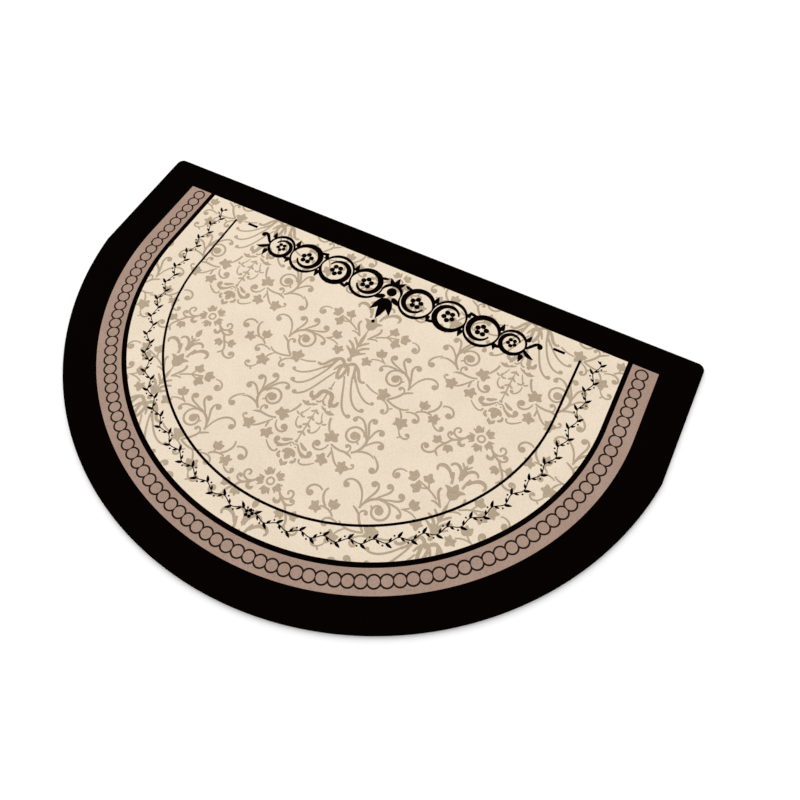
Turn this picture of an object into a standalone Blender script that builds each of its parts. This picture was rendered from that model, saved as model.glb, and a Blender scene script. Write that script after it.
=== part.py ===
"""Half-round doormat: one flat sheet of printed textile bonded to a rubber back.

Metres, +Z up. The origin is on the floor under the middle of the mat's box, +X runs
along the flat edge and +Y points to that edge, so the curve bulges towards -Y.
"""

from math import acos, cos, pi, sin

import bmesh
import bpy
import numpy as np

# Driving sizes of the cut mat, in metres
WIDTH = 0.700
DEPTH = 0.450
THICKNESS = 0.005
CORNER_RADIUS = 0.0085

# The curve is the lower part of an ellipse a little wider than the mat, so it meets
# the straight sides at a slight corner
CURVE_HALF_WIDTH = 0.3531
CURVE_HALF_DEPTH = 0.3438

# Roundings of the cut edge, above and below
TOP_ROUNDING = 0.0012
BOTTOM_ROUNDING = 0.0005

# How finely the round stretches are divided
CURVE_STEPS = 120
CORNER_STEPS = 8
SIDE_STEPS = 12
FLAT_EDGE_STEPS = 48
ROUNDING_STEPS = 4

FACE_COLOUR = (0.0027, 0.0009, 0.0009, 1.0)
FACE_ROUGHNESS = 0.9

HALF_WIDTH = WIDTH / 2
FLAT_EDGE_Y = DEPTH / 2
CURVE_CENTRE_Y = CURVE_HALF_DEPTH - DEPTH / 2
CURVE_START_ANGLE = acos(HALF_WIDTH / CURVE_HALF_WIDTH)
SIDE_END_Y = CURVE_CENTRE_Y - CURVE_HALF_DEPTH * sin(CURVE_START_ANGLE)


def clear_scene():
    """Remove every object that the open file holds."""
    for item in list(bpy.data.objects):
        bpy.data.objects.remove(item, do_unlink=True)


def corner(centre_x, centre_y, start, end):
    """A quarter circle between two angles, in radians."""
    angle = np.linspace(start, end, CORNER_STEPS + 1)
    x = centre_x + CORNER_RADIUS * np.cos(angle)
    y = centre_y + CORNER_RADIUS * np.sin(angle)
    return np.stack([x, y], axis=1)


def straight(start, end, steps):
    """Evenly spaced points from start to end, without the two ends."""
    part = np.linspace(0.0, 1.0, steps + 1)[1:-1, None]
    return np.array(start) * (1 - part) + np.array(end) * part


def outline():
    """The cut line seen from above, counter-clockwise from the right end of the flat edge."""
    corner_x = HALF_WIDTH - CORNER_RADIUS
    corner_y = FLAT_EDGE_Y - CORNER_RADIUS
    angle = np.linspace(pi + CURVE_START_ANGLE, 2 * pi - CURVE_START_ANGLE, CURVE_STEPS + 1)
    curve_x = CURVE_HALF_WIDTH * np.cos(angle)
    curve_y = CURVE_CENTRE_Y + CURVE_HALF_DEPTH * np.sin(angle)
    return np.concatenate([
        corner(corner_x, corner_y, 0.0, pi / 2),
        straight((corner_x, FLAT_EDGE_Y), (-corner_x, FLAT_EDGE_Y), FLAT_EDGE_STEPS),
        corner(-corner_x, corner_y, pi / 2, pi),
        straight((-HALF_WIDTH, corner_y), (-HALF_WIDTH, SIDE_END_Y), SIDE_STEPS),
        np.stack([curve_x, curve_y], axis=1),
        straight((HALF_WIDTH, SIDE_END_Y), (HALF_WIDTH, corner_y), SIDE_STEPS),
    ])


def outward(points):
    """The outline's outward normals, each the mean of its two edges' normals."""
    edge = np.roll(points, -1, axis=0) - points
    edge /= np.linalg.norm(edge, axis=1)[:, None]
    normal = np.stack([edge[:, 1], -edge[:, 0]], axis=1)
    normal += np.roll(normal, 1, axis=0)
    return normal / np.linalg.norm(normal, axis=1)[:, None]


def edge_profile():
    """How far in the cut edge lies and how high, from the underside up to the face."""
    rows = []
    for step in range(ROUNDING_STEPS + 1):
        angle = pi / 2 * step / ROUNDING_STEPS
        rows.append((BOTTOM_ROUNDING * (1 - sin(angle)), BOTTOM_ROUNDING * (1 - cos(angle))))
    for step in range(ROUNDING_STEPS + 1):
        angle = pi / 2 * step / ROUNDING_STEPS
        rows.append((TOP_ROUNDING * (1 - cos(angle)), THICKNESS - TOP_ROUNDING * (1 - sin(angle))))
    return rows


def build_mat():
    """Carry the edge profile round the outline and close it with two flat faces."""
    points = outline()
    normals = outward(points)
    mesh = bpy.data.meshes.new("mat")
    form = bmesh.new()
    rings = []
    for inset, height in edge_profile():
        ring = points - normals * inset
        rings.append([form.verts.new((x, y, height)) for x, y in ring])
    count = len(points)
    for lower, upper in zip(rings, rings[1:]):
        for index in range(count):
            after = (index + 1) % count
            form.faces.new((lower[index], lower[after], upper[after], upper[index]))
    form.faces.new(rings[-1])
    form.faces.new(reversed(rings[0]))
    bmesh.ops.recalc_face_normals(form, faces=form.faces)
    form.to_mesh(mesh)
    form.free()
    mesh.shade_smooth()
    mesh.set_sharp_from_angle(angle=pi / 6)
    mat = bpy.data.objects.new("mat", mesh)
    bpy.context.scene.collection.objects.link(mat)
    return mat


def printed_textile():
    """Black printed polyester, matt."""
    material = bpy.data.materials.new("printed_textile")
    material.use_nodes = True
    shader = material.node_tree.nodes["Principled BSDF"]
    shader.inputs["Base Color"].default_value = FACE_COLOUR
    shader.inputs["Roughness"].default_value = FACE_ROUGHNESS
    shader.inputs["Metallic"].default_value = 0.0
    return material


clear_scene()
build_mat().data.materials.append(printed_textile())
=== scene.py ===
from math import acos, cos, pi, radians, sin

import bpy
import numpy as np
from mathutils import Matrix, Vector
from mathutils.geometry import delaunay_2d_cdt


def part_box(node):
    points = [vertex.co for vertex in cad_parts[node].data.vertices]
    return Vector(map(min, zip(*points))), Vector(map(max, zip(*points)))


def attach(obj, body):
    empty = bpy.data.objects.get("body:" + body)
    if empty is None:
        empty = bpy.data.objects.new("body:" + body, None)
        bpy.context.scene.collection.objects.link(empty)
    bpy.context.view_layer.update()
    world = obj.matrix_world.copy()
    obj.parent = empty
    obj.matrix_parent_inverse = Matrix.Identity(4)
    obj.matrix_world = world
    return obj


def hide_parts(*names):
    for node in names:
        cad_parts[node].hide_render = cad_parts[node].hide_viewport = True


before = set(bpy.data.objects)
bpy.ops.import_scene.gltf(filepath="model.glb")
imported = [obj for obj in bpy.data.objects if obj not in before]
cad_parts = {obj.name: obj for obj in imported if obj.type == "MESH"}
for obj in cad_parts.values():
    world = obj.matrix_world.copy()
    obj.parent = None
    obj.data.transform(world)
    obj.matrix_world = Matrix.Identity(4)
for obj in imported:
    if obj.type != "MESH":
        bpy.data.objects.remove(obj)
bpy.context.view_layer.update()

# The half-round doormat's looks: one printed sheet of short polyester pile on a rubber back.
# The print is drawn in millimetres on the plan, x from the mat's middle to the right and y
# to the flat edge, as outlines that are then laid into the mesh of the mat's top face.


# Driving sizes in millimetres, read from the mat's part in model.glb
MM = 0.001
MAT_LOW, MAT_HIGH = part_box("mat")
HALF_WIDTH = (MAT_HIGH.x - MAT_LOW.x) / 2 / MM
HALF_DEPTH = (MAT_HIGH.y - MAT_LOW.y) / 2 / MM
THICKNESS = (MAT_HIGH.z - MAT_LOW.z) / MM
FLAT_EDGE = HALF_DEPTH

# The cut line, with the same measures as the solid's: rounded corners at the flat edge,
# straight sides, then part of an ellipse
CORNER_RADIUS = 8.5
CURVE_HALF_WIDTH = 1.00886 * HALF_WIDTH
CURVE_HALF_DEPTH = 1.528 * HALF_DEPTH
CORNER_STEPS = 12
CURVE_STEPS = 240
STRAIGHT_STEP = 8.0

# The cut edge: rubber below, pile above, with a fine groove where they are bonded
RUBBER_THICKNESS = 1.6
BOND_GROOVE = 0.18
BOND_HALF_HEIGHT = 0.22
TOP_ROUNDING = 1.2
BOTTOM_ROUNDING = 0.5
ROUNDING_STEPS = 6
GROOVE_STEPS = 6

# The nested half-round lines of the print: half width, distance from the flat edge to
# where the curve starts, distance from the flat edge to the curve's lowest point, and how
# far to the right of the mat's middle it lies
BAND_OUTER = (308.7, 122.3, 415.5, 0.7)
LINE_OUTER = (279.9, 123.5, 389.9, 0.8)
FIELD_EDGE = (274.2, 123.8, 384.4, 1.0)
CHAIN_MIDDLE = (292.4, 122.9, 402.8, 1.0)
VINE_MIDDLE = (247.6, 129.0, 365.7, 1.0)
THIN_LINE = (226.9, 135.4, 350.2, 1.6)

# How far the lines' sides lean in for each millimetre up, how far from the flat edge they
# end, and how finely they are drawn
SIDE_LEAN = 0.0145
PRINT_TOP = 33.2
THIN_LINE_TOP = 54.6
THIN_LINE_WIDTH = 2.8
LINE_STEP = 2.5
FINE_STEP = 1.0
HALF_ELLIPSE_STEPS = 180

# The rings along the band: their spacing, how far from the flat edge the first one lies,
# their radius and the width of their line. Each one's line runs into its neighbours'.
CHAIN_PITCH = 12.32
CHAIN_START = 42.6
RING_RADIUS = 7.5
RING_LINE = 1.87
RING_STEPS = 28

# The damask: columns with a half drop, how far to the right of the mat's middle the middle
# column lies, how far below the flat edge its rosette lies, and which columns and rows of
# the repeat reach the field
COLUMN_SPACING = 168.6
REPEAT_HEIGHT = 277.0
DAMASK_MIDDLE = 2.5
ROSETTE_DROP = 327.5
COLUMNS = range(-2, 3)
ROWS = range(-1, 3)

# How far to the right of the mat's middle the scroll, the bars and the vine lie
PRINT_SHIFT = 1.0

# The black scroll along the flat edge: how far below the edge its middle line lies, where
# its first coil starts beside the palmette, its line, and the radii of its coils
SCROLL_DROP = 67.5
SCROLL_START = 12.0
SCROLL_LINE = 4.2
COIL_RADII = (20.5, 20.5, 20.5, 16.0)

# A coil of the first radius: how far it turns in degrees, its line at its two ends and at
# its fullest, the radius that it shrinks to, and its blossom's radius
COIL_TURN = 335
COIL_THIN = 2.0
COIL_THICK = 7.0
COIL_INNER = 11.5
COIL_BLOSSOM = 8.4

# The short bars at the scroll's two ends
BAR_MIDDLE = 201.4
BAR_DROP = 53.9
BAR_LENGTH = 13.6
BAR_WIDTH = 3.5

# The leafy vine between the thin line and the field's edge: how far from the flat edge it
# starts, its waves' length, how far they sway to each side, its line, how finely it is
# drawn and its blossom's radius
VINE_TOP = 46.0
VINE_WAVE = 25.0
VINE_SWAY = 2.2
VINE_LINE = 1.05
VINE_STEP = 1.6
VINE_BLOSSOM = 5.2

# What each half wave of the vine carries: how far along, as a share, how far it turns from
# the vine towards the crest in degrees, then a leaf's length and width, or a berry's
# distance from the vine and its radius
VINE_GROWTH = (
    ("berry", 0.12, 75, 3.6, 1.05),
    ("leaf", 0.42, 42, 8.4, 3.2),
    ("leaf", 0.70, -55, 5.8, 2.5),
)
VINE_LEAF_POINT = 0.8

# How finely the print's forms are drawn: a stroke's fewest steps, how many degrees of bend
# or of coil add one more, a petal's steps, and the steps round discs
FEWEST_STEPS = 8
BEND_PER_STEP = 13
COIL_PER_STEP = 11
PETAL_STEPS = 8
DISC_STEPS = 16
BERRY_STEPS = 12
EYE_STEPS = 24

# The print's forms: where a stem reaches its full width and where it starts to thin, how
# wide a blade is at its foot, a leaf's reach as a share of its size, and the places and
# radius of a blossom's petals as shares of its radius
STEM_FULL = 0.5
STEM_FADE = 0.6
BLADE_FOOT = 0.35
LEAF_REACH = 0.55
BLOSSOM_REACH = 0.63
BLOSSOM_PETAL = 0.375
BLOSSOM_PETALS = 5

# The mesh: its materials in the order of their slots, the kind of triangulation, and the
# distance within which it joins points
SLOTS = ("black", "taupe", "cream", "tan", "umber", "rubber")
INSIDE_TRIANGLES = 1
CLOSEST = 1e-5

# Where the back and the wall lie on the bake's map, above the printed face. The wall's
# strip has room for more than one turn, because the faces at its join run past the first.
BACK_MAP_FOOT = 0.66
WALL_MAP_LEFT = 0.53
WALL_MAP_WIDTH = 0.45
WALL_MAP_TURNS = 1.05
WALL_MAP_FOOT = 0.72
WALL_MAP_HEIGHT = 0.05

# The pile: each ink's deep and pale shade and its specular level. The deep shade is painted
# shade at the tufts' feet and in darker clouds, and the fibres' grain runs between the two.
# Fibres of 0.1 mm are drawn at FIBRE and tufts of 1 mm at TUFT, so that they show.
INKS = {
    "black": ("030101", "0a0404", 0.005),
    "taupe": ("92786a", "b69c8c", 0.05),
    "cream": ("d8c7af", "f1e2cd", 0.05),
    "tan": ("a08e77", "bead95", 0.05),
    "umber": ("1a110d", "2c211b", 0.03),
}
TUFT = 1.5
FIBRE = 0.35
# The size of the pile's lay clouds, which are painted light and shade
PILE_LAY_SHADE = 45.0
PILE_DEPTH = 0.6
PILE_STRENGTH = 0.5

# The rubber: the painted shade in the grooves between its diamonds and the diamonds' own
# colour, the size of its diamonds in metres, and the Wave texture's scale for one wave a
# metre
RUBBER_GROOVE_SHADE = "070606"
RUBBER_PALE = "191818"
RUBBER_GRID = 5.0 * MM
ONE_WAVE_A_METRE = 0.3142

# The numbers of the Mix node's sockets when it mixes colours
MIX_SHARE = 0
MIX_FIRST = 6
MIX_SECOND = 7
MIX_RESULT = 2

# The studio, in metres
FLOOR_REACH = 6.0
FLOOR_GAP = 0.0002
FLOOR_COLOUR = "fcfcfc"
SURROUND = 0.8
SOFTBOX_SIZE = 3.0
SOFTBOX_POWER = 42.0
SOFTBOX_PLACE = (-0.8, 1.2, 2.6)

# The camera, in metres, degrees and millimetres
CAMERA_PLACE = (0.24698, -0.2545, 0.64541)
CAMERA_TURN = (27.8705, 1.3624, 27.8226)
LENS = 30.711
SENSOR_WIDTH = 36.0


# Drawing tools for the print

def bent(start, end, bend, coil=0.0):
    """A path from start to end whose heading turns by bend*t + coil*t^4 degrees.

    Unit steps along that heading are summed, then turned and stretched evenly so that the
    path runs between its two ends.
    """
    steps = int(FEWEST_STEPS + (abs(bend) + abs(coil)) / BEND_PER_STEP)
    t = (np.arange(steps) + 0.5) / steps
    run = np.concatenate([[0], np.cumsum(np.exp(1j * np.radians(bend * t + coil * t**4)))])
    run = run * (complex(*end) - complex(*start)) / run[-1] + complex(*start)
    return np.stack([run.real, run.imag], axis=1)


def normals(path):
    """Unit normals to the left of a path, from the differences of its neighbouring points."""
    along = np.gradient(path, axis=0)
    along /= np.linalg.norm(along, axis=1)[:, None]
    return np.stack([-along[:, 1], along[:, 0]], axis=1)


def stroke(path, width):
    """A closed outline half a width to each side of a path."""
    side = normals(path) * (np.asarray(width) / 2).reshape(-1, 1)
    return np.concatenate([path - side, (path + side)[::-1]])


def disc(x, y, radius, steps=DISC_STEPS):
    """A circle's outline: centre + radius * (cos a, sin a)."""
    angle = np.arange(steps) * 2 * pi / steps
    return np.stack([x + radius * np.cos(angle), y + radius * np.sin(angle)], axis=1)


def stem(x0, y0, x1, y1, bend=0, coil=0, width=2.3, bulb=0.0, root=0.65, tip=0.85):
    """A curved stroke that swells from its root to its middle and thins to its tip.

    With a bulb, the stroke's last part is pushed outwards by a share that grows as t^2, so
    that its tip runs into the round bulb's outer side.
    """
    path = bent((x0, y0), (x1, y1), bend, coil)
    t = np.linspace(0, 1, len(path))
    swell = root + (1 - root) * np.clip(t / STEM_FULL, 0, 1)
    fade = 1 - (1 - tip) * np.clip((t - STEM_FADE) / (1 - STEM_FADE), 0, 1)
    if not bulb:
        return [stroke(path, width * swell * fade)]
    push = max(bulb - width * tip / 2, 0) * np.sign(bend + coil)
    path = path - normals(path)[-1] * (push * t**2)[:, None]
    return [stroke(path, width * swell * fade), disc(x1, y1, bulb)]


def coil_arm(x0, y0, x1, y1, turn, thin, thick, inner, ease=0.95):
    """A stroke spiralling round (x1, y1): its reach shrinks as t^ease while its angle turns.

    Its width is thin at both ends and swells between them as a sine of t^0.75.
    """
    t = np.linspace(0, 1, int(FEWEST_STEPS + abs(turn) / COIL_PER_STEP))
    start = complex(x0 - x1, y0 - y1)
    reach = abs(start) + (inner - abs(start)) * t**ease
    run = complex(x1, y1) + reach * np.exp(1j * (np.angle(start) + np.radians(turn) * t))
    width = thin + (thick - thin) * np.sin(pi * t**0.75) ** 1.1
    return [stroke(np.stack([run.real, run.imag], axis=1), width)]


def volute(x0, y0, x1, y1, turn, thin, thick, bulb):
    """A spiral stroke whose reach shrinks as t^2 until it ends in a round bulb's side."""
    arm = coil_arm(x0, y0, x1, y1, turn, thin, thick, inner=0.75 * bulb, ease=2.0)
    return arm + [disc(x1, y1, bulb)]


def blade(x0, y0, x1, y1, bend=0, coil=0, width=4.0, peak=0.4):
    """A curved leaf whose width rises as a sine to its peak, then falls as a cosine."""
    path = bent((x0, y0), (x1, y1), bend, coil)
    t = np.linspace(0, 1, len(path))
    rise = BLADE_FOOT + (1 - BLADE_FOOT) * np.sin(np.clip(t / peak, 0, 1) * pi / 2)
    fall = np.clip(np.cos(np.clip((t - peak) / (1 - peak), 0, 1) * pi / 2), 0, 1) ** 0.9
    return [stroke(path, np.maximum(width * rise * fall, 0.2))]


def petal(x, y, heading, length, width, point=0.5):
    """A petal on its foot: half its width is about a sine of t^point along its length."""
    t = np.linspace(0, 1, PETAL_STEPS + 1)
    half = width / 2 * np.sin(pi * t**point) ** 0.9
    form = np.concatenate([t * length - 1j * half, (t * length + 1j * half)[-2:0:-1]])
    form = complex(x, y) + form * np.exp(1j * np.radians(heading))
    return [np.stack([form.real, form.imag], axis=1)]


# One side of a leaf, from its tip to its stalk: angle in degrees, share of its reach. The
# ivy leaf has five points; the trefoil has three and a round foot. The first side point of
# both lies at SIDE_POINT.
IVY_SIDE = (
    (0, 1.04), (9, 0.95), (22, 0.79), (39, 0.62), (51, 0.75), (62, 1.00), (70, 1.07),
    (80, 0.93), (94, 0.77), (107, 0.82), (120, 0.97), (131, 1.04), (141, 0.93), (157, 0.72),
    (170, 0.57), (180, 0.50),
)
TREFOIL_SIDE = (
    (0, 1.00), (9, 0.91), (22, 0.72), (38, 0.58), (50, 0.72), (62, 0.98), (70, 1.03),
    (80, 0.94), (95, 0.88), (112, 0.88), (130, 0.88), (148, 0.82), (165, 0.74), (180, 0.70),
)
SIDE_POINT = 70.0


def pointed_leaf(side, x, y, heading, size, spread):
    """A leaf round its middle: a reach for each angle, the same on both sides.

    The angles are stretched so that the first side points lie spread degrees from the tip.
    """
    angle, reach = np.array(side).T
    angle = np.interp(angle, (0, SIDE_POINT, 180), (0, spread, 180))
    angle = np.radians(np.concatenate([angle, 360 - angle[-2:0:-1]]) + heading)
    reach = np.concatenate([reach, reach[-2:0:-1]]) * size * LEAF_REACH
    return [np.stack([x + reach * np.cos(angle), y + reach * np.sin(angle)], axis=1)]


def ivy(x, y, heading, size, spread):
    """A five-pointed leaf."""
    return pointed_leaf(IVY_SIDE, x, y, heading, size, spread)


def trefoil(x, y, heading, size, spread):
    """A three-pointed leaf."""
    return pointed_leaf(TREFOIL_SIDE, x, y, heading, size, spread)


def blossom(x, y, radius):
    """Five round petals in a ring, which touch each other and leave a small eye."""
    turns = np.radians(90 + 360 / BLOSSOM_PETALS * np.arange(BLOSSOM_PETALS))
    reach = BLOSSOM_REACH * radius
    petal_radius = BLOSSOM_PETAL * radius
    return [disc(x + reach * cos(turn), y + reach * sin(turn), petal_radius) for turn in turns]


def placed(shapes, x=0.0, y=0.0, turn=0.0, size=1.0):
    """The shapes scaled, turned by some degrees and moved."""
    angle = radians(turn)
    spin = size * np.array([[cos(angle), sin(angle)], [-sin(angle), cos(angle)]])
    return [shape @ spin + (x, y) for shape in shapes]


def flipped(shapes, x=-1, y=1):
    """The shapes mirrored, with their points still running counter-clockwise."""
    return [shape[::-1] * (x, y) for shape in shapes]


DRAW = {
    "stems": stem, "volutes": volute, "blades": blade, "petals": petal, "ivy": ivy,
    "trefoils": trefoil,
}


def motif(**parts):
    """Every form that the rows of a motif's tables give."""
    return [form for kind, rows in parts.items() for row in rows for form in DRAW[kind](*row)]


# The damask's right half, in millimetres from the middle of its rosette. The columns are
# stems: start x and y, end x and y, bend, coil, width, bulb, share of width at root and tip
# volutes: start x and y, centre x and y, turn, thin and thick width, bulb
# blades: start x and y, end x and y, bend, coil, width, where along it is widest
# ivy and trefoils: x, y, heading, size, how far from the tip the first side points lie
# petals: foot x and y, heading, length, width, and the point that petal's formula takes,
# which sets the fullest part further from the foot as it grows

SIDE_SPRAY = dict(
    stems=(
        (14.5, -5.5, 28.3, -17.8, 66, -85, 2.6, 0, 0.9, 1),
        (28.0, -17.4, 36.0, -34.0, 0, -65, 2.5, 0, 1, 0.9),
        (36.2, -32.6, 46.8, -32.8, 153, 210, 2.5, 2.6, 1),
        (36.4, -33, 32.0, -37.6, -20, 0, 2.4, 0, 1, 0.5),
        (16.5, -7.2, 24.2, -3.6, 210, 192, 2.3, 0, 0.9, 1),
        (24.0, -13.0, 29.9, -8.8, 126, 205, 2.3, 1.8, 0.9),
        (18.0, -9.2, 18.6, -14.4, -15, 0, 2.8, 2.0),
        (32.0, -21.3, 37.5, -22.2, 0, 0, 2.0),
    ),
    blades=((19.6, -15.6, 12.8, -12.2, -90, -40, 4.1, 0.5),),
    trefoils=((26.0, -25.2, 250, 10.4, 62), (40.4, -20.8, 24, 10.2, 80)),
)
CROWN = dict(
    stems=(
        (0.6, -37.6, 5.4, -32.2, 20, 0, 2.2, 0, 1, 0.8),
        (1.4, -50.5, 14.4, -40.8, -90, -110, 3.4, 0, 0.8, 0.7),
        (6.0, -58.4, 9.8, -45.9, -24, 10, 3.2, 0, 0.9, 1),
        (8.8, -52.8, 24.1, -50.6, -88, -145, 4.5, 0, 0.5, 0.5),
    ),
)
STALK = dict(
    stems=(
        (4.8, -85.8, 12.6, -66.6, -14, 92, 2.9, 0, 0.6, 0.9),
        (5.0, -85.6, 16.2, -83.2, -30, -40, 2.2, 0, 0.8, 0.8),
        (12.0, -79.8, 37.0, -69.5, -30, 15, 2.1, 0, 0.9, 0.8),
        (22.4, -74.5, 26.2, -67.5, 15, 0, 1.9),
        (25.0, -74.2, 31.0, -76.0, -30, 0, 1.9),
        (51.2, -66.9, 58.6, -73.9, -195, -220, 2.4, 2.6),
        (0.5, -99.0, 9.4, -89.3, -30, 0, 2.9, 0, 0.7, 0.8),
        (1.2, -106.5, 13.2, -95.6, -55, 0, 3.3, 0, 0.8, 0.7),
        (1.6, -111.0, 12.2, -102.8, -25, 0, 3.0, 0, 0.9, 0.6),
    ),
    blades=((0.4, -114.0, 6.0, -103.0, -20, 0, 4.2, 0.5),),
    trefoils=(
        (28.0, -63.5, 90, 11.4, 97),
        (43.1, -67.2, 16, 12.6, 75),
        (35.7, -77.2, -4, 12.0, 88),
    ),
)
PLUMES = dict(
    stems=(
        (2.2, -127.0, 9.0, -120.5, -95, 0, 4.0, 0, 0.9, 1),
        (8.4, -120.5, 28.8, -134.8, -110, 194, 3.5, 0, 1.1, 0.9),
        (10.6, -122, 15.0, -138.5, -15, 0, 3.4, 0, 0.9, 0.6),
        (31.6, -135.9, 49, -141.2, 30, 0, 2.1, 0, 1, 0.8),
        (2.8, -126.5, 0, -144.4, -33, -20, 3.8, 0, 0.9, 1),
        (4.2, -126.5, 8.8, -136.6, -10, 0, 2.8, 0, 0.9, 0.6),
        (12.0, -127.5, 20.6, -139.4, 10, 0, 2.8, 0, 0.5, 0.9),
        (19.0, -136.6, 48.6, -154.2, 27, 52, 2.3, 2.2, 0.9, 1),
        (13.8, -135, 42.8, -166.5, 16, 75, 2.4, 2.6, 0.9, 1),
        (5.5, -138.0, 33.2, -178.8, -14, 70, 2.4, 2.6, 0.8, 1),
    ),
)
TRAIL = dict(
    ivy=(
        (53.8, -139.2, 18, 15.0, 73),
        (115, -140.6, -47, 12.2, 80),
        (86.1, -160.6, -73, 14.6, 76),
    ),
    trefoils=((99.3, -130.6, 90, 11.8, 67),),
    stems=(
        (60, -142.3, 86.5, -142.3, 39, 35, 2.4, 0, 1, 0.7),
        (94.5, -142.5, 111, -137.8, -72, 5, 2.3, 0, 0.9),
        (99, -139, 98.8, -134, 0, 0, 2.0),
        (106, -136, 112.5, -118, 60, 35, 2.5, 0, 1, 0.8),
        (117, -123, 126.8, -130.5, -141, -110, 2.5, 3.4, 0.8),
        (85, -146.8, 97.8, -151.8, -75, -185, 2.4, 2.8),
        (77.5, -146.8, 84.6, -156.5, -39, 5, 2.2),
        (88.0, -167.5, 98.3, -169.8, 105, 180, 2.2, 2.1),
        (67, -152, 70.8, -149.2, 0, 0, 1.9),
        (93.2, -174.4, 90.4, -177.2, 0, 0, 1.9),
        (58, -145.2, 62.4, -156.3, -78, -220, 2.4, 2.2),
    ),
)
# A curl that hangs from the trail on the repeat's right side alone
RIGHT_CURL = dict(stems=((115.5, -145.5, 126.8, -146.6, 33, 190, 2.3, 2.5),))
WAVE_FOOT = dict(
    stems=(
        (60.5, -142, 72.8, -127.5, 24, 10, 2.7, 0, 0.9, 1),
        (72.6, -127.5, 66.8, -124.6, 114, 100, 2.3, 2.0),
        (72.4, -128.4, 82, -122.8, -15, 0, 2.5, 0, 1, 0.6),
    ),
)
WAVE = dict(
    stems=(
        (75.5, -122.5, 54, -103.6, 96, -15, 3.0, 0, 0.8, 0.9),
        (58, -105.3, 37.2, -112.8, 6, 115, 2.4, 2.6, 0.9),
        (21, -106.8, 36, -104.2, -48, 0, 1.8, 0, 0.9, 0.9),
        (38.5, -104.8, 30.8, -99.4, -25, 0, 2.0),
        (58, -104, 44.3, -93.0, 24, -300, 2.6, 3.0),
        (66, -107.5, 59.2, -89.2, 51, -270, 2.6, 3.0),
        (74.5, -117, 74, -93.8, 54, -250, 2.6, 3.2),
        (76.2, -119.5, 98.8, -106.6, -69, -150, 2.5, 3.3),
        (63.4, -118.0, 66.6, -114.8, 0, 0, 1.9),
    ),
    volutes=((60.8, -106.2, 56.6, -116.2, 400, 2.1, 2.6, 4.6),),
    ivy=((18.0, -111.5, 252, 11.8, 90),),
    trefoils=((28.4, -95.2, 115, 12.2, 68),),
)
FAN_FOOT = dict(
    stems=(
        (33.5, -214.2, 52, -215.4, 39, -5, 2.5, 0, 0.9, 1),
        (35.5, -217.2, 53, -233, -3, 50, 2.3),
        (37.8, -220, 37.8, -228.6, -10, 0, 2.3),
        (25.4, -203.2, 18.6, -188, -18, -20, 2.7, 0, 0.7, 1),
        (31.4, -216, 20.4, -219.7, -138, -175, 2.5, 3.6),
        (61.5, -230, 64.3, -224.8, 111, 120, 2.0, 1.4),
        (29, -240.5, 13.5, -244.8, -12, -120, 2.1, 1.3),
    ),
    blades=((46, -216.2, 60.8, -219.3, -50, 0, 2.9, 0.5),),
    ivy=(
        (30.1, -207.3, 115, 14.8, 65),
        (56.4, -231.9, 13, 13.4, 84),
        (33.4, -233.2, 230, 13.0, 64),
    ),
)
FAN = dict(
    stems=(
        (56.5, -213.5, 64.8, -193.5, 63, 5, 3.0, 0, 0.85, 1),
        (65, -195, 62.2, -171.4, 93, -255, 2.7, 3.1, 0.9),
        (65.2, -195, 74.8, -180.5, 15, -240, 2.5, 3.1),
        (64.5, -202, 80.8, -194.4, 0, -225, 2.5, 3.2),
        (64.5, -194.5, 42, -178.2, -6, 150, 2.6, 2.8, 0.9),
        (59.5, -210.8, 80.5, -209.3, -42, -45, 2.5, 0, 0.9, 0.4),
        (79, -205.6, 85, -220.8, -33, -175, 2.5, 3.4, 0.6),
        (52.6, -215.3, 49.4, -208.8, 105, 140, 2.2, 2.1),
        (55.4, -199.4, 59.0, -202.2, 0, 0, 2.0),
    ),
    volutes=((60.4, -192.0, 50.6, -195.0, 415, 2.1, 2.6, 4.8),),
)
DROP = dict(
    blades=(
        (0, -173.5, 5.4, -178.6, 20, 60, 2.4, 0.5),
        (2.0, -180.4, 10.5, -184.6, 20, 0, 2.8, 0.6),
        (8.0, -184.2, 20.2, -183.4, 40, 0, 4.4, 0.45),
        (0, -187.2, 5.0, -190.8, 40, 0, 2.6, 0.65),
        (0, -196.0, 4.8, -199.5, 40, 0, 2.6, 0.65),
        (0, -205.0, 5.2, -208.3, 40, 0, 2.6, 0.65),
        (0, -214.6, 5.2, -218.5, 40, 0, 2.6, 0.65),
        (8.0, -236.0, 16.0, -242.0, -10, 0, 3.2, 0.5),
        (0, -256.0, 3.6, -250.9, 62, 0, 4.0, 0.4),
    ),
    stems=(
        (0.4, -163.6, 9.2, -174.2, -180, 120, 5.0, 0, 0.9, 1),
        (8.0, -173.2, 14.8, -169.3, 174, 20, 4.6, 0, 0.9, 0.6),
        (8.0, -176.6, 11.4, -179.0, 0, 0, 2.4, 0, 1, 0.8),
        (3.6, -230.6, 19.3, -233.9, 58, 128, 3.5, 3.1, 0.5, 1),
        (4.4, -227.6, 14.4, -230.9, -38, 113, 3.9, 0, 0.45, 0.9),
        (8.7, -244.8, 6.2, -249.7, -142, -35, 3.3, 0, 0.7, 1.1),
        (0, -232.2, 3.4, -230.6, -40, 0, 1.8),
        (7.5, -187, 12.2, -197, 25, 0, 1.6, 0, 0.6),
        (12.4, -198.2, 6.9, -199.5, -95, -20, 2.2, 0, 0.8, 0.9),
        (13.2, -198.9, 17.3, -196.8, 95, 20, 2.2, 0, 0.8, 0.9),
        (13.0, -201.6, 5.2, -211.7, -72, -85, 1.9, 2.0, 0.7),
    ),
    petals=(
        (7.8, -184.9, 100, 4.4, 2.6, 0.7),
        (13.4, -185.2, 86, 4.4, 3.0, 0.7),
    ),
)
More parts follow.
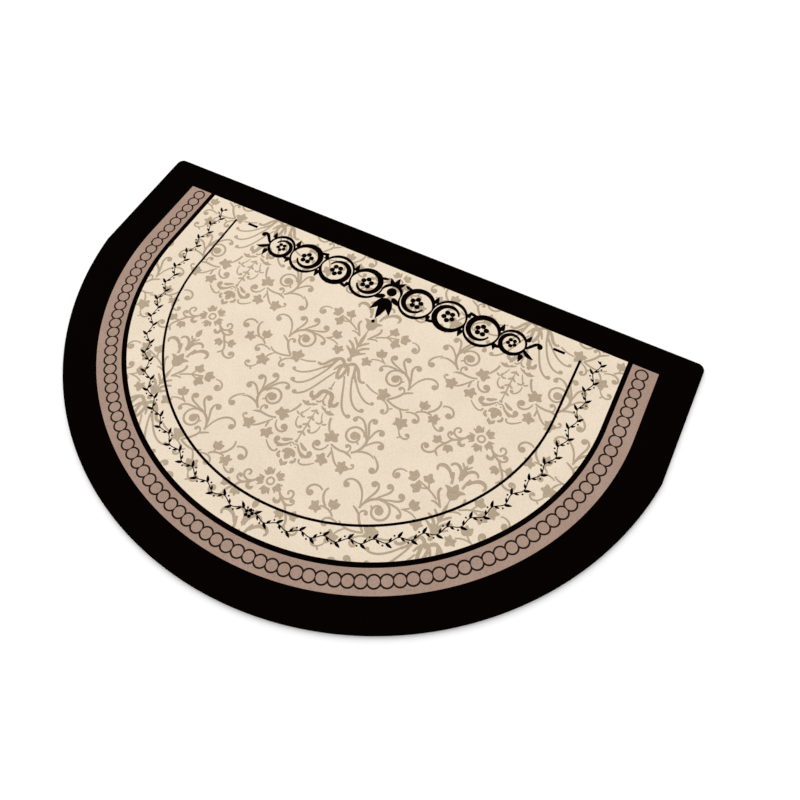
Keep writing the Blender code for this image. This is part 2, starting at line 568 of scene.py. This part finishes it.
MIDDLE = dict(
    petals=(
        (0, -32.0, 90, 12.0, 6.6, 0.8),
        (0, -53.4, 90, 21.4, 5.6, 1.0),
        (0, -101, 90, 25, 4.4, 0.9),
        (0, -122.4, -90, 7.5, 5.6, 0.6),
        (-3.0, -158.4, 0, 6.0, 2.6, 1.0),
    ),
    stems=(
        (0, -74, 0, -84, 0, 0, 1.6),
        (0, -98, 0, -118, 0, 0, 2.6, 0, 0.7, 1.2),
        (0, -148.5, 0, -158, 0, 0, 1.9),
        (0, -162, 0, -175, 0, 0, 2.0),
        (0, -186, 0, -229, 0, 0, 1.8),
    ),
)
# Beads on the damask's middle line and in pairs beside it: x, height and radius
BEADS = (
    (0, -117.6, 2.8), (0, -142.4, 1.8), (0, -196.0, 1.6), (0, -205.2, 1.6),
    (0, -227.8, 1.9), (0, -256.4, 1.9), (4.8, -178.0, 1.3), (-4.8, -178.0, 1.3),
    (12.1, -196.9, 1.5), (-12.1, -196.9, 1.5), (2.6, -234.3, 1.0), (-2.6, -234.3, 1.0),
)

# One side of the tulip from foot to tip: height from the rosette's middle, half width. The
# hanging flower's rows give the depth below the rosette's middle in place of the height.
TULIP_SIDE = (
    (-75.0, 0.0), (-74.6, 1.0), (-73.4, 2.4), (-72.3, 4.1), (-70.9, 5.4), (-69.3, 6.1),
    (-67.4, 6.3), (-65.9, 6.9), (-64.5, 8.3), (-63.3, 10.0), (-62.6, 11.4), (-61.6, 11.3),
    (-61.0, 9.2), (-60.9, 6.8), (-61.5, 4.9), (-61.0, 3.7), (-59.2, 2.9), (-57.0, 1.6),
)
TULIP_TIP = -55.4
HANGING_SIDE = (
    (237.2, 0.0), (237.4, 2.4), (238.2, 4.5), (239.9, 6.4), (241.9, 7.4), (243.6, 7.9),
    (244.9, 7.1), (244.6, 5.4), (244.7, 3.4), (246.3, 3.7), (248.1, 2.8), (249.7, 1.3),
)
HANGING_TIP = 250.9

# One side of a rosette's petal from its foot: distance from the rosette's middle, half width
PETAL_SIDE = (
    (7.2, 0.0), (7.1, 1.7), (6.7, 3.3), (8.2, 4.5), (10.0, 5.0), (11.6, 5.6), (12.8, 6.0),
    (13.3, 5.2), (12.8, 4.2), (11.4, 3.2), (13.0, 2.9), (14.4, 2.2), (15.3, 1.1),
)
PETAL_TIP = 15.8
ROSETTE_PETALS = 5
ROSETTE_EYE = 3.7
ROSETTE_EYE_LINE = 2.2


def closed_pair(side, tip):
    """A closed outline from one side's (along, across) rows, its tip and the other side."""
    along, across = np.array(side, dtype=float).T
    along = np.concatenate([along, [tip], along[:0:-1]])
    across = np.concatenate([-across, [0.0], across[:0:-1]])
    return np.stack([along, across], axis=1)


def rosette():
    """Five three-lobed petals, one of them pointing down, round a ring drawn in two halves."""
    outline = closed_pair(PETAL_SIDE, PETAL_TIP)
    turns = np.arange(ROSETTE_PETALS) * 360 / ROSETTE_PETALS - 90
    petals = [placed([outline], turn=turn)[0] for turn in turns]
    eye = disc(0, 0, ROSETTE_EYE, EYE_STEPS)
    half = EYE_STEPS // 2
    halves = [eye[: half + 1], np.roll(eye, half, axis=0)[: half + 1]]
    return petals + [stroke(path, ROSETTE_EYE_LINE) for path in halves]


def damask_unit():
    """One repeat of the damask, the same on both sides of its middle line but for one curl."""
    tables = (SIDE_SPRAY, CROWN, STALK, PLUMES, TRAIL, WAVE_FOOT, WAVE, FAN_FOOT, FAN, DROP)
    half = [form for table in tables for form in motif(**table)]
    middle = rosette() + motif(**MIDDLE) + [disc(*bead) for bead in BEADS]
    middle += placed([closed_pair(TULIP_SIDE, TULIP_TIP)], turn=90)
    middle += placed([closed_pair(HANGING_SIDE, HANGING_TIP)], turn=-90)
    return middle + half + flipped(half) + motif(**RIGHT_CURL)


def damask():
    """The repeats over the field: every other column is dropped by half a repeat."""
    unit = damask_unit()
    forms = []
    for column in COLUMNS:
        x = DAMASK_MIDDLE + column * COLUMN_SPACING
        half_drop = REPEAT_HEIGHT / 2 * (column % 2)
        for row in ROWS:
            y = FLAT_EDGE - ROSETTE_DROP + half_drop + row * REPEAT_HEIGHT
            forms += placed(unit, x, y)
    forms = [under(form, FLAT_EDGE - PRINT_TOP) for form in forms]
    return [form for form in forms if touches_field(form)]


def under(form, level):
    """The part of a closed outline below a level, cut where its edges pass that level."""
    after = np.roll(form, -1, axis=0)
    kept = form[:, 1] < level
    passes = kept != (after[:, 1] < level)
    rise = np.where(passes, after[:, 1] - form[:, 1], 1.0)
    cut = form + (after - form) * ((level - form[:, 1]) / rise)[:, None]
    both = np.stack([form, cut], axis=1).reshape(-1, 2)
    return both[np.stack([kept, passes], axis=1).ravel()]


def touches_field(form):
    """Whether any point of an outline lies in the cream field's half round."""
    half_width, curve_start, bottom, shift = FIELD_EDGE
    down = np.maximum(FLAT_EDGE - form[:, 1] - curve_start, 0) / (bottom - curve_start)
    return bool(np.any(((form[:, 0] - shift) / half_width) ** 2 + down**2 < 1))


# The nested lines

def half_round(line, top, step=LINE_STEP):
    """An open path: down the left side, round the half ellipse and up the right side."""
    half_width, curve_start, bottom, shift = line
    down = np.arange(top, curve_start, step)
    across = half_width - SIDE_LEAN * (curve_start - down)
    angle = np.linspace(pi, 2 * pi, HALF_ELLIPSE_STEPS + 1)
    curve_x = half_width * np.cos(angle)
    curve_y = -curve_start + (bottom - curve_start) * np.sin(angle)
    x = np.concatenate([-across, curve_x, across[::-1]])
    y = np.concatenate([-down, curve_y, -down[::-1]])
    return np.stack([shift + x, FLAT_EDGE + y], axis=1)


def evenly(path, spacing):
    """Points evenly along a path, its headings there in radians, and how far along they lie."""
    steps = np.linalg.norm(np.diff(path, axis=0), axis=1)
    reach = np.concatenate([[0], np.cumsum(steps)])
    at = np.linspace(0, reach[-1], int(round(reach[-1] / spacing)) + 1)
    points = np.stack([np.interp(at, reach, path[:, axis]) for axis in (0, 1)], axis=1)
    heading = np.unwrap(np.arctan2(*np.gradient(path, axis=0).T[::-1]))
    return points, np.interp(at, reach, heading), at


def chain():
    """The rings' outer discs, and the smaller discs that leave a line of each."""
    centres, _, _ = evenly(half_round(CHAIN_MIDDLE, CHAIN_START, FINE_STEP), CHAIN_PITCH)
    outer = [disc(x, y, RING_RADIUS, RING_STEPS) for x, y in centres]
    inner = [disc(x, y, RING_RADIUS - RING_LINE, RING_STEPS) for x, y in centres]
    return outer, inner


def vine():
    """A stem that sways as a sine, the same on both sides of a blossom at its lowest point.

    Each half wave carries a berry beside it, a long leaf towards its crest and a short one
    on its other side. The stem starts two points away from the blossom's middle.
    """
    path, heading, at = evenly(half_round(VINE_MIDDLE, VINE_TOP, FINE_STEP), VINE_STEP)
    half = len(path) // 2
    path, heading, at = path[half:], heading[half:], at[half:] - at[half]
    across = np.stack([-np.sin(heading), np.cos(heading)], axis=1)
    waves = round(at[-1] / VINE_WAVE)
    pitch = at[-1] / waves
    stem_path = path + across * (VINE_SWAY * np.sin(2 * pi * at / pitch))[:, None]
    forms = [stroke(stem_path[2:], VINE_LINE)]
    for turn in range(2 * waves):
        side = 1 if turn % 2 == 0 else -1
        for kind, share, lean, reach, size in VINE_GROWTH:
            where = (turn + share) * pitch / 2
            x = np.interp(where, at, stem_path[:, 0])
            y = np.interp(where, at, stem_path[:, 1])
            ahead = np.interp(where, at, heading)
            if kind == "leaf":
                turned = np.degrees(ahead) + side * lean
                forms += petal(x, y, turned, reach, size, VINE_LEAF_POINT)
            else:
                turned = ahead + side * radians(lean)
                berry_x = x + reach * cos(turned)
                berry_y = y + reach * sin(turned)
                forms.append(disc(berry_x, berry_y, size, BERRY_STEPS))
    left = placed(flipped(forms), 2 * PRINT_SHIFT)
    return forms + left + blossom(*stem_path[0], VINE_BLOSSOM)


def running_scroll():
    """A scroll of coils round blossoms, mirrored about a palmette of petals.

    Every other coil is turned over. A coil is a half-round stem, two petals where it meets
    the next one, a blade on its outer side and an arm that winds inwards.
    """
    half = []
    x = SCROLL_START
    side = 1
    for radius in COIL_RADII:
        far = x + 2 * radius
        middle = x + radius
        size = radius / COIL_RADII[0]
        foot_x, foot_y = middle - 11 * size, 15 * size
        tip_x, tip_y = middle - 22 * size, 17 * size
        part = motif(
            stems=((x, 0, far, 0, 180, 0, SCROLL_LINE, 0, 0.45, 0.5),),
            petals=((far - 0.5, 9, 90, 11, 6.0), (far - 1.0, -8.5, -78, 10, 5.4)),
            blades=((foot_x, foot_y, tip_x, tip_y, -70, 30, SCROLL_LINE, 0.5),),
        )
        arm_thick = COIL_THICK * size
        part += coil_arm(far, 0, middle, 0, COIL_TURN, COIL_THIN, arm_thick, COIL_INNER * size)
        part += blossom(middle, 0, COIL_BLOSSOM * size)
        half += part if side > 0 else flipped(part, 1, -1)
        x = far
        side = -side
    half += motif(
        stems=(
            (x, 0, x + 14, 8, 60, -225, 4.0, 3.0, 0.8, 0.9),
            (0, 11, SCROLL_START, 0, -90, 0, SCROLL_LINE, 0, 1, 0.5),
        ),
        blades=((x - 1, -2, x + 14, -10, 50, 0, 5.0, 0.45),),
        petals=(
            (1.5, -9, -63, 24, 8.4, 0.7),
            (4, -6, -32, 15, 6.6, 0.7),
            (2.5, 10, 50, 12, 6),
        ),
    )
    palmette = motif(petals=((0, -8, -90, 32, 10.5, 0.7), (0, 10, 90, 13, 7)))
    palmette += [disc(0, 1, 6.0, EYE_STEPS), disc(0, -44, 2.2)]
    return placed(palmette + half + flipped(half), PRINT_SHIFT, FLAT_EDGE - SCROLL_DROP)


def bars():
    """The two short bars beside the scroll."""
    y = FLAT_EDGE - BAR_DROP
    reach = BAR_LENGTH / 2
    path = np.array([(BAR_MIDDLE - reach, y), (BAR_MIDDLE + reach, y)])
    bar = [stroke(path, BAR_WIDTH)]
    return placed(bar + flipped(bar), PRINT_SHIFT)


def print_layers():
    """The print from below upwards: each layer's ink and its outlines."""
    rings, ring_fills = chain()
    return [
        ("taupe", [half_round(BAND_OUTER, PRINT_TOP)]),
        ("black", [half_round(LINE_OUTER, PRINT_TOP)]),
        ("cream", [half_round(FIELD_EDGE, PRINT_TOP)]),
        ("tan", damask()),
        ("black", [stroke(half_round(THIN_LINE, THIN_LINE_TOP), THIN_LINE_WIDTH)]),
        ("black", vine() + running_scroll() + bars()),
        ("umber", rings),
        ("taupe", ring_fills),
    ]


# The mesh of the mat

def outline():
    """The cut line on the plan, counter-clockwise from the right end of the flat edge."""
    corner_x = HALF_WIDTH - CORNER_RADIUS
    corner_y = FLAT_EDGE - CORNER_RADIUS
    curve_middle = CURVE_HALF_DEPTH - HALF_DEPTH
    start = acos(HALF_WIDTH / CURVE_HALF_WIDTH)
    side_end = curve_middle - CURVE_HALF_DEPTH * sin(start)
    quarter = np.linspace(0, pi / 2, CORNER_STEPS + 1)
    right = np.stack([corner_x + CORNER_RADIUS * np.cos(quarter),
                      corner_y + CORNER_RADIUS * np.sin(quarter)], axis=1)
    left = right[::-1] * (-1, 1)
    angle = np.linspace(pi + start, 2 * pi - start, CURVE_STEPS + 1)
    curve = np.stack([CURVE_HALF_WIDTH * np.cos(angle),
                      curve_middle + CURVE_HALF_DEPTH * np.sin(angle)], axis=1)
    flat_x = np.linspace(corner_x, -corner_x, int(2 * corner_x / STRAIGHT_STEP))[1:-1]
    flat = np.stack([flat_x, np.full(len(flat_x), FLAT_EDGE)], axis=1)
    side_y = np.linspace(corner_y, side_end, int((corner_y - side_end) / STRAIGHT_STEP))[1:-1]
    side = np.stack([np.full(len(side_y), -HALF_WIDTH), side_y], axis=1)
    return np.concatenate([right, flat, left, side, curve, side[::-1] * (-1, 1)])


def outward(points):
    """The closed outline's outward normals, each the mean of its two edges' normals."""
    edge = np.roll(points, -1, axis=0) - points
    edge /= np.linalg.norm(edge, axis=1)[:, None]
    normal = np.stack([edge[:, 1], -edge[:, 0]], axis=1)
    normal += np.roll(normal, 1, axis=0)
    return normal / np.linalg.norm(normal, axis=1)[:, None]


def edge_profile():
    """Rows of inset and height up the cut edge.

    They are a quarter round in the rubber, a cosine for the bond's groove and a larger
    quarter round in the pile.
    """
    angle = np.linspace(0, pi / 2, ROUNDING_STEPS + 1)
    foot = np.stack([BOTTOM_ROUNDING * (1 - np.sin(angle)),
                     BOTTOM_ROUNDING * (1 - np.cos(angle))], axis=1)
    reach = np.linspace(-1, 1, GROOVE_STEPS + 1)
    groove = np.stack([BOND_GROOVE * np.cos(reach * pi / 2),
                       RUBBER_THICKNESS + BOND_HALF_HEIGHT * reach], axis=1)
    head = np.stack([TOP_ROUNDING * (1 - np.cos(angle)),
                     THICKNESS - TOP_ROUNDING * (1 - np.sin(angle))], axis=1)
    return np.concatenate([foot, groove, head])


def filled(rim, forms):
    """A flat face inside the rim, in triangles that follow every form's outline.

    A constrained triangulation of all the outlines gives the places, the triangles, for
    each triangle the numbers of the outlines over it (0 is the rim), and for each corner of
    the rim its place's number.
    """
    outlines = [rim] + forms
    points = np.concatenate(outlines).tolist()
    ends = np.cumsum([len(form) for form in outlines])
    faces = [list(range(end - len(form), end)) for end, form in zip(ends, outlines)]
    places, _, triangles, corners_at, _, covering = delaunay_2d_cdt(
        points, [], faces, INSIDE_TRIANGLES, CLOSEST)
    corner = np.concatenate(corners_at).astype(int)
    place_of = np.repeat(np.arange(len(places)), [len(numbers) for numbers in corners_at])
    rim_at = np.full(len(rim), -1)
    rim_at[corner[corner < len(rim)]] = place_of[corner < len(rim)]
    return np.array(places), np.array(triangles), covering, rim_at


def shown_inks(layers, covering):
    """The ink of each triangle: that of the last layer over it, and tan only on the cream."""
    inks = ["black"] + [ink for ink, _ in layers]
    layer_of = np.repeat(np.arange(len(inks)), [1] + [len(forms) for _, forms in layers])
    counts = np.array([len(numbers) for numbers in covering])
    starts = np.concatenate([[0], np.cumsum(counts)[:-1]])
    covers = layer_of[np.concatenate(covering).astype(int)]
    on_cream = np.logical_or.reduceat(covers == inks.index("cream"), starts)
    covers[(covers == inks.index("tan")) & ~np.repeat(on_cream, counts)] = 0
    slot_of = np.array([SLOTS.index(ink) for ink in inks])
    return slot_of[np.maximum.reduceat(covers, starts)]


def mat_faces():
    """The closed mesh: the edge profile carried round the cut line, then the two flat faces.

    Gives its places in millimetres, its faces as arrays of corners for the wall, the printed
    face and the back, and each face's slot.
    """
    cut = outline()
    away = outward(cut)
    rows = edge_profile()
    count = len(cut)
    around = np.arange(count)
    wall = np.concatenate([
        np.column_stack([cut - away * inset, np.full(count, height)]) for inset, height in rows
    ])
    first = np.arange(len(rows) - 1)[:, None] * count
    lower = (first + around).ravel()
    after = (first + np.roll(around, -1)).ravel()
    quads = np.stack([lower, after, after + count, lower + count], axis=1)
    in_rubber = rows[lower // count, 1] < RUBBER_THICKNESS
    wall_slots = np.where(in_rubber, SLOTS.index("rubber"), SLOTS.index("black"))

    layers = print_layers()
    forms = [form for _, group in layers for form in group]
    places, triangles, covering, rim_at = filled(wall[-count:, :2], forms)
    number = np.full(len(places), -1)
    number[rim_at] = (len(rows) - 1) * count + around
    inner = np.flatnonzero(number < 0)
    number[inner] = len(wall) + np.arange(len(inner))
    printed = number[triangles]
    inner_places = np.column_stack([places[inner], np.full(len(inner), THICKNESS)])

    places, triangles, _, rim_at = filled(wall[:count, :2], [])
    number = np.full(len(places), -1)
    number[rim_at] = around
    back = number[triangles][:, ::-1]

    back_slots = np.full(len(back), SLOTS.index("rubber"))
    slots = np.concatenate([wall_slots, shown_inks(layers, covering), back_slots])
    return np.concatenate([wall, inner_places]), (quads, printed, back), slots


def plan_map(places, corner_of, groups):
    """The bake's map: the printed face as on the plan, and the back at half size above it.

    The wall is unrolled into a strip beside the back, by its angle round the mat's middle.
    """
    width = 2 * HALF_WIDTH
    x, y, z = places[corner_of].T
    u = (x + HALF_WIDTH) / width
    v = (y + HALF_DEPTH) / width
    wall, _, back = groups
    u[back] = u[back] / 2
    v[back] = BACK_MAP_FOOT + v[back] / 2
    turn = np.arctan2(y[wall], x[wall]) / (2 * pi) + 0.5
    quad = turn.reshape(-1, 4)
    quad[(quad.max(axis=1, keepdims=True) - quad > 0.5)] += 1.0
    u[wall] = WALL_MAP_LEFT + WALL_MAP_WIDTH * quad.ravel() / WALL_MAP_TURNS
    v[wall] = WALL_MAP_FOOT + z[wall] / THICKNESS * WALL_MAP_HEIGHT
    return np.stack([u, v], axis=1)


def build_mat():
    """The mat as one closed mesh in metres, with its slots and its bake map."""
    places, faces, slots = mat_faces()
    sizes = np.concatenate([np.full(len(group), group.shape[1]) for group in faces])
    corner_of = np.concatenate([group.ravel() for group in faces])
    corner_starts = np.concatenate([[0], np.cumsum(sizes)[:-1]])
    mesh = bpy.data.meshes.new("printed_mat")
    mesh.vertices.add(len(places))
    mesh.vertices.foreach_set("co", (places * MM).ravel())
    mesh.loops.add(len(corner_of))
    mesh.loops.foreach_set("vertex_index", corner_of)
    mesh.polygons.add(len(sizes))
    mesh.polygons.foreach_set("loop_start", corner_starts)
    mesh.polygons.foreach_set("material_index", slots)
    smooth = np.zeros(len(sizes), dtype=bool)
    smooth[: len(faces[0])] = True
    mesh.polygons.foreach_set("use_smooth", smooth)
    mesh.update(calc_edges=True)
    ends = np.cumsum([group.size for group in faces])
    groups = [slice(end - group.size, end) for end, group in zip(ends, faces)]
    bake_map = mesh.uv_layers.new(name="OFBake")
    bake_map.uv.foreach_set("vector", plan_map(places, corner_of, groups).ravel())
    mesh.validate()
    mat = bpy.data.objects.new("printed_mat", mesh)
    bpy.context.scene.collection.objects.link(mat)
    return mat


# Materials

def linear(code):
    """An sRGB hex colour as linear red, green, blue and alpha."""
    parts = np.array([int(code[at:at + 2], 16) for at in (0, 2, 4)]) / 255
    low = parts / 12.92
    high = ((parts + 0.055) / 1.055) ** 2.4
    return (*np.where(parts <= 0.04045, low, high), 1.0)


def add(material, kind, inputs, **properties):
    """A node of a kind, with its inputs set to values or linked to other nodes' sockets."""
    made = material.node_tree.nodes.new("ShaderNode" + kind)
    for name, value in properties.items():
        setattr(made, name, value)
    for name, value in inputs.items():
        if isinstance(value, bpy.types.NodeSocket):
            material.node_tree.links.new(value, made.inputs[name])
        else:
            made.inputs[name].default_value = value
    return made


def new_material(name):
    """An empty material with nodes, and its Principled surface."""
    material = bpy.data.materials.new(name)
    material.use_nodes = True
    return material, material.node_tree.nodes["Principled BSDF"]


def printed_pile(name, deep, pale, specular):
    """Short cut polyester pile, dye-printed: matt, each tuft painted paler on top and darker at
    its foot, as shade in the pits between the tufts.

    The tufts are close-set cells that break into finer fibres, which give the print its
    grain and the surface a soft tooth. Where the pile lies a little differently from place
    to place, broad faint clouds of painted light and shade stand for how it catches the
    light. Each pattern's values between low and high give a share of the pale shade that
    runs from first to last.
    """
    material, surface = new_material(name)
    place = add(material, "TexCoord", {}).outputs["Object"]
    tufts = add(material, "TexVoronoi", {"Vector": place, "Scale": 1 / (TUFT * MM)})
    fibres = add(material, "TexNoise", {
        "Vector": place, "Scale": 1 / (FIBRE * MM), "Detail": 1.0})
    # Broad clouds of painted light and shade where the pile lies differently
    lay_shade_clouds = add(material, "TexNoise", {
        "Vector": place, "Scale": 1 / (PILE_LAY_SHADE * MM), "Detail": 1.0})
    shares = [
        add(material, "MapRange", {
            "Value": value, "From Min": low, "From Max": high, "To Min": first, "To Max": last,
        }).outputs["Result"]
        for value, low, high, first, last in (
            (tufts.outputs["Distance"], 0.1, 0.9, 0.5, 0.0),
            (fibres.outputs["Fac"], 0.3, 0.7, 0.0, 0.35),
            (lay_shade_clouds.outputs["Fac"], 0.35, 0.65, 0.0, 0.15),
        )
    ]
    # The height of tufts and fibres also sets the colour: its low parts at the tufts' feet are
    # painted shade, and the fibres' part is the print's grain
    height = add(material, "Math", {0: shares[0], 1: shares[1]}).outputs["Value"]
    painted_shade_and_grain = add(material, "Math", {0: height, 1: shares[2]}).outputs["Value"]
    colour = add(material, "Mix", {
        MIX_SHARE: painted_shade_and_grain, MIX_FIRST: linear(deep), MIX_SECOND: linear(pale)}, data_type="RGBA")
    bump = add(material, "Bump", {
        "Height": height, "Strength": PILE_STRENGTH, "Distance": PILE_DEPTH * MM})
    material.node_tree.links.new(colour.outputs[MIX_RESULT], surface.inputs["Base Color"])
    material.node_tree.links.new(bump.outputs["Normal"], surface.inputs["Normal"])
    surface.inputs["Roughness"].default_value = 0.95
    surface.inputs["Specular IOR Level"].default_value = specular
    return material


def rubber_backing():
    """Calendered nitrile rubber, embossed with a diamond grid: dull and almost black.

    The grid is a product of two crossed waves: flat diamonds with grooves between them,
    which the bump sinks and which are painted darker as shade. Its pitch is drawn twice as
    coarse as the real one's, so that it shows.
    """
    material, surface = new_material("nitrile_rubber_backing")
    place = add(material, "TexCoord", {}).outputs["Object"]
    waves = []
    for turn in (45.0, -45.0):
        turned = add(material, "Mapping", {
            "Vector": place, "Rotation": (0.0, 0.0, radians(turn))})
        waves.append(add(material, "TexWave", {
            "Vector": turned.outputs["Vector"], "Scale": ONE_WAVE_A_METRE / RUBBER_GRID,
            "Distortion": 0.0}).outputs["Fac"])
    product = add(material, "Math", {0: waves[0], 1: waves[1]}, operation="MULTIPLY")
    grid = add(material, "MapRange", {
        "Value": product.outputs["Value"], "From Min": 0.02, "From Max": 0.45})
    smear = add(material, "TexNoise", {"Vector": place, "Scale": 25.0, "Detail": 3.0})
    rough = add(material, "MapRange", {
        "Value": smear.outputs["Fac"], "From Min": 0.3, "From Max": 0.7,
        "To Min": 0.62, "To Max": 0.82})
    bump = add(material, "Bump", {
        "Height": grid.outputs["Result"], "Strength": 0.7, "Distance": 0.5 * MM})
    # The grooves take the deep shade: painted shade between the diamonds
    colour = add(material, "Mix", {
        MIX_SHARE: grid.outputs["Result"], MIX_FIRST: linear(RUBBER_GROOVE_SHADE),
        MIX_SECOND: linear(RUBBER_PALE)}, data_type="RGBA")
    material.node_tree.links.new(colour.outputs[MIX_RESULT], surface.inputs["Base Color"])
    material.node_tree.links.new(rough.outputs["Result"], surface.inputs["Roughness"])
    material.node_tree.links.new(bump.outputs["Normal"], surface.inputs["Normal"])
    surface.inputs["Specular IOR Level"].default_value = 0.15
    return material


# The studio

def build_floor():
    """A plain pale floor, a hair under the mat so that their faces don't coincide."""
    mesh = bpy.data.meshes.new("floor")
    corners_xy = np.array([(-1, -1), (1, -1), (1, 1), (-1, 1)]) * FLOOR_REACH
    mesh.from_pydata([(x, y, -FLOOR_GAP) for x, y in corners_xy], [], [(0, 1, 2, 3)])
    floor = bpy.data.objects.new("floor", mesh)
    bpy.context.scene.collection.objects.link(floor)
    material, surface = new_material("painted_studio_floor")
    surface.inputs["Base Color"].default_value = linear(FLOOR_COLOUR)
    surface.inputs["Roughness"].default_value = 1.0
    surface.inputs["Specular IOR Level"].default_value = 0.0
    mesh.materials.append(material)


def build_lights():
    """An even white surround and one large soft light from above."""
    world = bpy.data.worlds.new("studio")
    bpy.context.scene.world = world
    world.use_nodes = True
    background = world.node_tree.nodes["Background"]
    background.inputs["Color"].default_value = (1.0, 1.0, 1.0, 1.0)
    background.inputs["Strength"].default_value = SURROUND
    lamp = bpy.data.lights.new("softbox", "AREA")
    lamp.shape = "SQUARE"
    lamp.size = SOFTBOX_SIZE
    lamp.energy = SOFTBOX_POWER
    softbox = bpy.data.objects.new("softbox", lamp)
    softbox.location = SOFTBOX_PLACE
    aim = -Vector(SOFTBOX_PLACE)
    softbox.rotation_euler = aim.to_track_quat("-Z", "Y").to_euler()
    bpy.context.scene.collection.objects.link(softbox)


def build_camera():
    """The photo's view, fitted to the mat's outline and the print's lines."""
    lens = bpy.data.cameras.new("camera")
    lens.lens = LENS
    lens.sensor_width = SENSOR_WIDTH
    camera = bpy.data.objects.new("camera", lens)
    camera.location = CAMERA_PLACE
    camera.rotation_euler = [radians(turn) for turn in CAMERA_TURN]
    bpy.context.scene.collection.objects.link(camera)
    bpy.context.scene.camera = camera


build_camera()
build_lights()
build_floor()

mat = build_mat()
for slot_name in SLOTS:
    if slot_name == "rubber":
        mat.data.materials.append(rubber_backing())
    else:
        pile_name = slot_name + "_printed_polyester_pile"
        mat.data.materials.append(printed_pile(pile_name, *INKS[slot_name]))
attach(mat, "root")
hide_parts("mat")

bpy.context.scene.view_settings.view_transform = "Standard"
